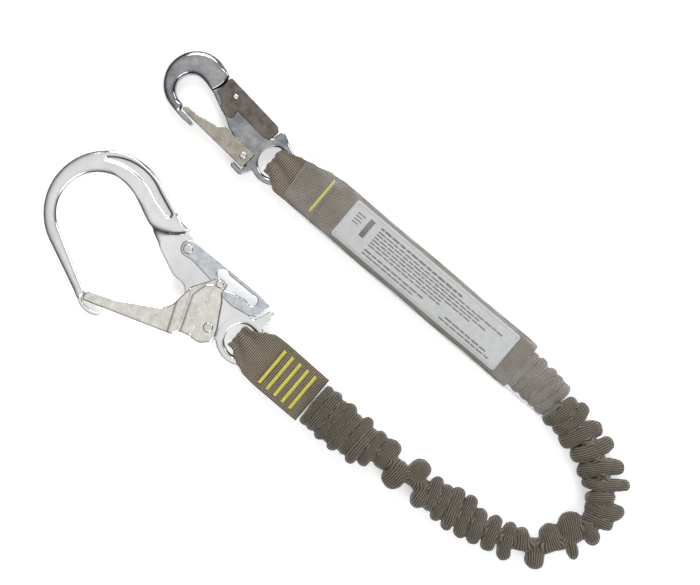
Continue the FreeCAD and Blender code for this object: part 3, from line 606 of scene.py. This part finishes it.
def stitches(name, x, y_low, y_high, z, wide, node):
    """A bar tack: thread that zigzags across its bar, with a bed of straight stitches under it."""
    count = 34
    vertices = []
    faces = []

    def thread(points, radius, sides=6):
        start = len(vertices)
        for index, point in enumerate(points):
            along = (points[min(index + 1, len(points) - 1)] - points[max(index - 1, 0)]).normalized()
            side = Z_AXIS.cross(along).normalized()
            lift = along.cross(side)
            for turn in range(sides):
                angle = 2 * math.pi * turn / sides
                vertices.append(point + (side * math.cos(angle) + lift * math.sin(angle)) * radius)
        faces.extend(ring_faces(len(points), sides, start))
        faces.extend(end_faces(len(points), sides, start))

    zigzag = []
    for index in range(count * 2 + 1):
        share = index / (count * 2)
        swing = wide / 2 if index % 2 else -wide / 2
        wobble = 0.12 * math.sin(index * 1.7)
        zigzag.append(plan(x + swing + wobble, y_low + (y_high - y_low) * share, z))
        if index < count * 2:
            zigzag.append(plan(x + wobble, y_low + (y_high - y_low) * (share + 0.5 / (count * 2)), z + 0.35))
    thread(zigzag, 0.00048)
    for offset in (-0.6, 0.0, 0.6):
        thread([plan(x + offset * wide / 2, y, z - 0.15) for y in steps(y_low, y_high, 12)], 0.0005)
    piece = new_piece(name, vertices, faces, YELLOW, "absorber")
    if node:
        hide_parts(node)


FIRST_TACK = 50.6
TACK_STEP = 7.7
for number in range(5):
    stitches(f"leg_tack_{number + 1}", FIRST_TACK + TACK_STEP * number, -142.0, -110.0, 15.1, 2.6,
             "leg_bar_tacks" if number == 0 else None)
stitches("snap_tack", -6.0, -14.5, 16.5, 17.6, 2.4, "absorber_end_tack")


# ---------------------------------------------------------------- energy absorber

PACK_LONG = 199.0
PACK_HALF = 20.2
LABEL_HALF = 17.4
LABEL_TOP = 20.15


def pack_edges(x):
    """The pack's two long edges, not quite straight."""
    return (-PACK_HALF + 0.25 * math.sin(x * 0.09), PACK_HALF + 0.25 * math.sin(x * 0.07 + 1.0))


def cover_web():
    """The outer turn of webbing over the stack, round its leg end and back under it."""
    line = [(x, 18.6) for x in steps(-1.0, PACK_LONG - 8.6, 90)]
    line += arc_points((PACK_LONG - 8.6, 10.3), 8.3, 90, -90, 22)[1:]
    line += [(x, 2.0) for x in steps(PACK_LONG - 8.6, -1.0, 90)][1:]

    def lift(x, share, z):
        return -0.9 * share ** 6 - 0.25 * math.sin(x * 0.35 + share * 3) * (1 if z > 10 else 0)

    piece = strip("pack_cover", line, pack_edges, lift, 2.2, GREY_WEB, "absorber")
    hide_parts("absorber_cover_web")


def tear_stack():
    """Plies of the tear web between the two turns of the cover, seen at the pack's long sides."""
    levels = steps(5.0, 15.7, 5)
    line = []
    for layer, level in enumerate(levels):
        ends = (4.0, PACK_LONG - 11.0) if layer % 2 == 0 else (PACK_LONG - 11.0, 4.0)
        line += [(x, level) for x in steps(ends[0], ends[1], 60)]
        if layer < len(levels) - 1:
            centre = (ends[1], (level + levels[layer + 1]) / 2)
            turn = (-90, 90) if layer % 2 == 0 else (270, 90)
            line += arc_points(centre, (levels[layer + 1] - level) / 2, turn[0], turn[1], 8)[1:-1]
    piece = strip("tear_plies", line, lambda x: (-19.4, 19.4),
                  lambda x, share, z: 0.0, 2.2, GREY_WEB, "absorber", 10)
    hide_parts("absorber_tear_web")


def label_level(x, y, crown):
    """Height of the label's slightly waved, crowned film."""
    return LABEL_TOP + crown * math.cos(y / LABEL_HALF * 1.3) + 0.12 * math.sin(x * 0.11) * math.cos(y * 0.2)


def label():
    """The printed label's thin film, with its corners cut a little."""
    left = 17.5
    right = 183.5
    corner_cut = 1.6
    rows = steps(left, right, 120)
    columns = steps(-LABEL_HALF, LABEL_HALF, 26)
    vertices = []
    for x in rows:
        for y in columns:
            corner = min(x - left, right - x)
            inset = corner_cut * (1 - smooth_step(corner, 0.0, corner_cut))
            y_in = math.copysign(max(abs(y) - inset * (abs(y) / LABEL_HALF), 0), y)
            vertices.append(plan(x, y_in, label_level(x, y, 0.25)))
    faces = [tuple(reversed(face)) for face in grid_faces(len(rows), len(columns))]
    piece = new_piece("label_sheet", vertices, faces, LABEL, "absorber")
    solid = piece.modifiers.new("thickness", "SOLIDIFY")
    solid.thickness = 0.25 * MM
    solid.offset = -1.0
    apply_modifiers(piece)
    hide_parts("absorber_label")
    label_print()


def label_print():
    """Plain bars that stand for the label's lines of wording, with a thin border line."""
    vertices = []
    faces = []

    def bar(x_low, y_low, x_high, y_high):
        start = len(vertices)
        columns = max(2, int((x_high - x_low) / 4))
        for x in steps(x_low, x_high, columns):
            for y, lift in ((y_low, 0.0), (y_low, 0.05), (y_high, 0.05), (y_high, 0.0)):
                vertices.append(plan(x, y, label_level(x, y, 0.27) + lift))
        for column in range(columns - 1):
            low = start + column * 4
            for turn in range(4):
                after = (turn + 1) % 4
                faces.append((low + turn, low + 4 + turn, low + 4 + after, low + after))
        faces.append((start, start + 1, start + 2, start + 3))
        last = start + (columns - 1) * 4
        faces.append((last + 3, last + 2, last + 1, last))

    bar(20.0, 15.1, 181.0, 15.3)
    bar(20.0, -15.3, 181.0, -15.1)
    bar(20.0, -15.3, 20.25, 15.3)
    bar(180.75, -15.3, 181.0, 15.3)
    lines = [
        (11.4, 46.0, 128.0, 1.7), (8.2, 46.0, 172.0, 1.1), (5.6, 46.0, 150.0, 1.1), (3.0, 46.0, 160.0, 1.1),
        (0.4, 46.0, 148.0, 1.1), (-2.2, 46.0, 118.0, 1.1), (-4.8, 46.0, 122.0, 1.1), (-9.4, 46.0, 108.0, 1.3),
        (-12.4, 46.0, 100.0, 1.1), (-9.4, 128.0, 172.0, 1.3), (-12.4, 124.0, 174.0, 1.1),
    ]
    for row, (y, start_x, end_x, high) in enumerate(lines):
        x = start_x
        word = 0
        while x < end_x - 3:
            length = 3.0 + 4.0 * abs(math.sin(row * 5.1 + word * 2.3))
            bar(x, y - high / 2, min(x + length, end_x), y + high / 2)
            x += length + 1.1
            word += 1
    for row in range(4):
        bar(24.0, 9.0 - row * 2.6, 31.0 - 1.5 * (row % 2), 10.0 - row * 2.6)
    bar(35.0, -4.0, 39.5, 12.0)
    new_piece("label_lines", vertices, faces, INK, "absorber")


def outlet():
    """Webbing that twists and bunches between the pack and the leg."""
    folds = [
        ((200.0, -17.5), (203.0, 15.5), 9.0, 1.0), ((207.0, -19.0), (212.0, 16.5), 9.0, 1.5),
        ((214.5, -19.5), (221.0, 16.0), 9.0, -1.0), ((222.5, -19.5), (230.0, 14.5), 9.0, 1.0),
        ((231.0, -20.0), (238.5, 12.5), 9.5, 1.0),
    ]
    level = 9.8
    half_high = 0.0078
    core = tube([plan(x, -2.0, level) for x in steps(200.0, 240.0, 12)], (0.0155, 0.0055))
    piece = gathered("outlet_web", folds, core, level, half_high, "absorber", GREY_WEB)
    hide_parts("absorber_outlet_web")


def sleeve():
    """Clear sleeve: one loose flat tube round the loop's end, the pack and the outlet."""
    around = 96
    vertices = []
    stations = steps(-31.0, 239.5, 150)
    half_wide = [(-31.0, 20.6), (-10.0, 21.4), (0.0, 21.7), (198.0, 21.7), (205.0, 20.6), (239.5, 18.6)]
    middle = [(-31.0, 0.0), (198.0, 0.0), (239.5, -1.8)]
    tops = [(-31.0, 19.6), (-6.0, 20.4), (4.0, 21.3), (196.0, 21.3), (204.0, 20.0), (239.5, 19.8)]
    for x in stations:
        half = between(half_wide, x)
        high = between(tops, x)
        for turn in range(around):
            angle = 2 * math.pi * turn / around
            cosine = math.cos(angle)
            sine = math.sin(angle)
            y = between(middle, x) + half * math.copysign(abs(cosine) ** 0.42, cosine)
            z = 0.35 + (high - 0.35) * (0.5 + 0.5 * math.copysign(abs(sine) ** 0.5, sine))
            point = Vector((x * 0.06, y * 0.11, z * 0.1))
            ripple = noise.noise(point) * 0.35 + noise.noise(point * 2.7) * 0.2
            loose = 1.6 if x < 0 or x > 199 else 0.7
            lean = -6.0 * (y / half) * (1 - smooth_step(x, -31.0, -8.0))
            rise = ripple * loose if sine > 0.1 else 0.0
            vertices.append(plan(x + lean * 0.35, y, max(z + rise, 0.35)))
    faces = ring_faces(len(stations), around)
    piece = new_piece("clear_sleeve", vertices, faces, CLEAR, "absorber")
    solid = piece.modifiers.new("thickness", "SOLIDIFY")
    solid.thickness = 0.3 * MM
    solid.offset = 0.0
    apply_modifiers(piece)
    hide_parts("absorber_sleeve")


cover_web()
tear_stack()
label()
outlet()
sleeve()


# ---------------------------------------------------------------- CAD pieces that stay

def finish_metal(node, material):
    """Give a CAD piece that stays its plating."""
    piece = frame["nodes"][node]
    piece.data.materials.clear()
    piece.data.materials.append(material)


HOOK_TURN = math.radians(173.3)
EYES = {"scaffold": plan(18.8, -125.4), "snap": plan(-51.7, -1.2)}


def hook_place(point, hook):
    """A point's place in its hook's own frame, in millimetres: +x from the eye to the bow."""
    away = point - EYES[hook]
    return ((away.x * math.cos(HOOK_TURN) + away.y * math.sin(HOOK_TURN)) / MM,
            (-away.x * math.sin(HOOK_TURN) + away.y * math.cos(HOOK_TURN)) / MM)


def ring_bar(x, y):
    """How much the bar round a hook's eye is rounded: all of it on the webbing's side."""
    return (1 - smooth_step(math.hypot(x, y), 16.0, 19.0)) * (1 - smooth_step(x, 6.0, 12.0)) * 0.6


def scaffold_bow(x, y):
    """How much the scaffold hook is rounded here: its open bow, apart from the groove and the nose."""
    bow = smooth_step(x, 96.0, 104.0)
    in_groove = smooth_step(x, 103.0, 108.0) * (1 - smooth_step(x, 178.0, 182.0))
    in_groove *= smooth_step(y, -39.0, -36.0) * (1 - smooth_step(y, -17.0, -14.0))
    nose = (1 - smooth_step(x, 110.0, 122.0)) * smooth_step(y, 50.0, 60.0)
    return max(bow * (1 - 0.93 * in_groove) * (1 - nose), ring_bar(x, y))


def snap_bow(x, y):
    """How much the snap hook is rounded here: its bow as far as the nose."""
    shoulder = (1 - smooth_step(x, 82.0, 88.0)) * smooth_step(y, 18.0, 24.0)
    bow = smooth_step(x, 76.0, 82.0) * (1 - 0.9 * shoulder)
    return max(bow, ring_bar(x, y))


def forged(name, node, hook, material, slot, voxel, soft, rounding, rounds):
    """A copy of a CAD piece with the soft edges and domed bow that forging and plating leave."""
    source = frame["nodes"][node]
    mesh = source.data.copy()
    mesh.materials.clear()
    mesh.materials.append(material)
    piece = bpy.data.objects.new(name, mesh)
    bpy.context.scene.collection.objects.link(piece)
    skin = piece.modifiers.new("skin", "REMESH")
    skin.mode = "VOXEL"
    skin.voxel_size = voxel
    skin.use_smooth_shade = True
    apply_modifiers(piece)
    if rounding:
        weights = piece.vertex_groups.new(name="rounded")
        for vertex in piece.data.vertices:
            weight = rounding(*hook_place(vertex.co, hook))
            if weight > 0:
                weights.add([vertex.index], weight, "REPLACE")
        dome = piece.modifiers.new("dome", "SMOOTH")
        dome.factor = 0.5
        dome.iterations = rounds
        dome.vertex_group = "rounded"
    soften = piece.modifiers.new("soften", "SMOOTH")
    soften.factor = 0.5
    soften.iterations = soft
    apply_modifiers(piece)
    piece.vertex_groups.clear()
    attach(piece, body_of(source)[0])
    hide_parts(node)


# Each row: piece, CAD node, hook, material, slot, voxel, edge rounds, where it is domed, dome rounds.
FORGINGS = [
    ("scaffold_hook_forging", "scaffold_hook_body", "scaffold", FORGED, "forged_steel", 0.0006, 4,
     scaffold_bow, 150),
    ("scaffold_gate_press", "scaffold_gate", "scaffold", ZINC, "zinc_sheet", 0.0005, 18, None, 0),
    ("scaffold_lever_press", "scaffold_lock_lever", "scaffold", GALVANISED, "galvanised_sheet", 0.0005, 5,
     None, 0),
    ("snap_hook_forging", "snap_hook_body", "snap", NICKEL_WITH_DARK_REFLECTION, "nickel_steel", 0.0005, 5, snap_bow, 170),
    ("snap_gate_press", "snap_gate", "snap", NICKEL_SHEET, "nickel_sheet", 0.0004, 8, None, 0),
    ("snap_lever_press", "snap_lock_lever", "snap", SHADED_NICKEL_SHEET, "nickel_sheet", 0.0004, 8, None, 0),
]
for row in FORGINGS:
    forged(*row)
for rivet in ("scaffold_gate_rivet", "scaffold_lever_rivet", "scaffold_link_pin", "snap_gate_rivet",
              "snap_lever_rivet"):
    finish_metal(rivet, RIVET)
for spring in ("scaffold_gate_spring", "snap_gate_spring", "snap_lever_spring"):
    finish_metal(spring, SPRING)
finish_metal("leg_elastic_core", RUBBER)


# ---------------------------------------------------------------- floor and light

def floor():
    """A pale floor that glows a little: painted light that lightens the shadows cast on it."""
    mesh = bpy.data.meshes.new("floor")
    half = 3.0
    mesh.from_pydata([(-half, -half, 0), (half, -half, 0), (half, half, 0), (-half, half, 0)], [],
                     [(0, 1, 2, 3)])
    ground = bpy.data.objects.new("floor", mesh)
    ground.location.z = -0.0004
    material, _, shader, _ = new_material("self_lit_pale_floor")
    shader.inputs["Base Color"].default_value = (0.93, 0.93, 0.93, 1.0)
    shader.inputs["Roughness"].default_value = 0.9
    # The glow is painted light, there to lift the shadows on the floor and under the rings.
    shader.inputs["Emission Color"].default_value = (1.0, 1.0, 1.0, 1.0)
    shader.inputs["Emission Strength"].default_value = 0.45
    mesh.materials.append(material)
    bpy.context.scene.collection.objects.link(ground)


def softbox(name, place, size, power):
    """A square area light aimed at the lanyard."""
    data = bpy.data.lights.new(name, "AREA")
    data.shape = "SQUARE"
    data.size = size
    data.energy = power
    lamp = bpy.data.objects.new(name, data)
    lamp.location = place
    lamp.rotation_euler = (AIM - Vector(place)).to_track_quat("-Z", "Y").to_euler()
    bpy.context.scene.collection.objects.link(lamp)


def studio():
    """A bright ceiling over darker walls, which the metal mirrors at its edges."""
    world = bpy.data.worlds.new("studio")
    world.use_nodes = True
    tree = world.node_tree
    place = tree.nodes.new("ShaderNodeTexCoord")
    split = tree.nodes.new("ShaderNodeSeparateXYZ")
    ramp = tree.nodes.new("ShaderNodeValToRGB")
    fill_ramp(ramp, [(0.0, (0.05, 0.05, 0.055)), (0.45, (0.07, 0.075, 0.08)), (0.80, (0.36, 0.37, 0.38)),
                     (1.0, (1.0, 1.0, 1.0))])
    tree.links.new(place.outputs["Generated"], split.inputs["Vector"])
    tree.links.new(split.outputs["Z"], ramp.inputs["Fac"])
    tree.links.new(ramp.outputs["Color"], tree.nodes["Background"].inputs["Color"])
    tree.nodes["Background"].inputs["Strength"].default_value = 0.95
    bpy.context.scene.world = world
    bpy.context.scene.view_settings.view_transform = "Standard"


floor()
softbox("key", (-0.9, 1.1, 1.5), 0.9, 22.0)
softbox("fill", (1.3, -0.5, 1.4), 1.2, 14.0)
softbox("back", (0.3, 1.5, 0.9), 0.7, 9.0)
studio()
